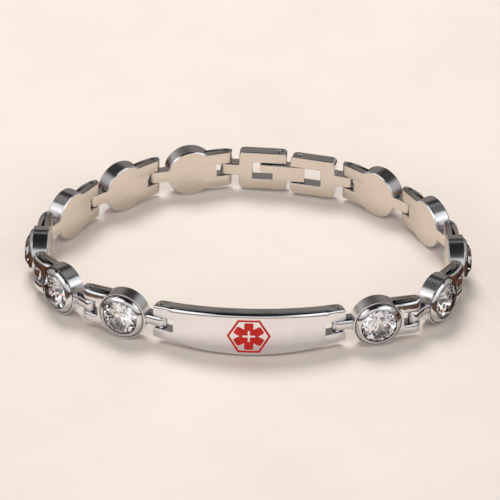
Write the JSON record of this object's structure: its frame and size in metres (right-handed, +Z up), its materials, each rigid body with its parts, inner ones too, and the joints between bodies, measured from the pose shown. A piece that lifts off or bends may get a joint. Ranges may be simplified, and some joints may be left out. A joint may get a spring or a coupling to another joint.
{
  "type": "medical alert bracelet",
  "caption": "Closed bracelet of pinned round links set with clear stones, with a bowed name plate that carries a red enamel medical sign and a clasp with a hooked lever.",
  "frame": {"origin": "middle of the bracelet's box, on the surface that it lies on", "axes": "+X along the loop's longer width, the name plate faces -Y, +Z up along the loop's axis"},
  "size_m": [0.0784, 0.058, 0.0088],
  "materials": {
    "polished_steel": "mirror polished stainless steel",
    "satin_steel": "satin stainless steel",
    "clear_stone": "clear faceted stone",
    "red_enamel": "glossy red enamel"
  },
  "bodies": {
    "bracelet": {"id_plate": "polished_steel", "plate_emblem": "red_enamel", "link_left_1": "polished_steel", "link_left_2": "polished_steel", "link_left_3": "polished_steel", "link_left_4": "polished_steel", "link_left_5": "polished_steel", "link_left_6": "polished_steel", "link_right_1": "polished_steel", "link_right_2": "polished_steel", "link_right_3": "polished_steel", "link_right_4": "polished_steel", "link_right_5": "polished_steel", "stone_left_1": "clear_stone", "stone_left_2": "clear_stone", "stone_left_3": "clear_stone", "stone_left_4": "clear_stone", "stone_left_5": "clear_stone", "stone_left_6": "clear_stone", "stone_right_1": "clear_stone", "stone_right_2": "clear_stone", "stone_right_3": "clear_stone", "stone_right_4": "clear_stone", "stone_right_5": "clear_stone", "clasp_catch": "satin_steel", "clasp_body": "satin_steel", "catch_pin": "satin_steel", "lever_pin": "satin_steel", "link_pin_1": "satin_steel", "link_pin_2": "satin_steel", "link_pin_3": "satin_steel", "link_pin_4": "satin_steel", "link_pin_5": "satin_steel", "link_pin_6": "satin_steel", "link_pin_7": "satin_steel", "link_pin_8": "satin_steel", "link_pin_9": "satin_steel", "link_pin_10": "satin_steel", "link_pin_11": "satin_steel", "link_pin_12": "satin_steel", "link_pin_13": "satin_steel"},
    "lever": {"clasp_lever": "satin_steel"}
  },
  "joints": [
    {"name": "lever_swing", "type": "hinge", "parent": "bracelet", "child": "lever", "pos_m": [0.00837, 0.02545, 0.0044], "axis": [0, 0, 1], "range_deg": [0, 90]}
  ]
}
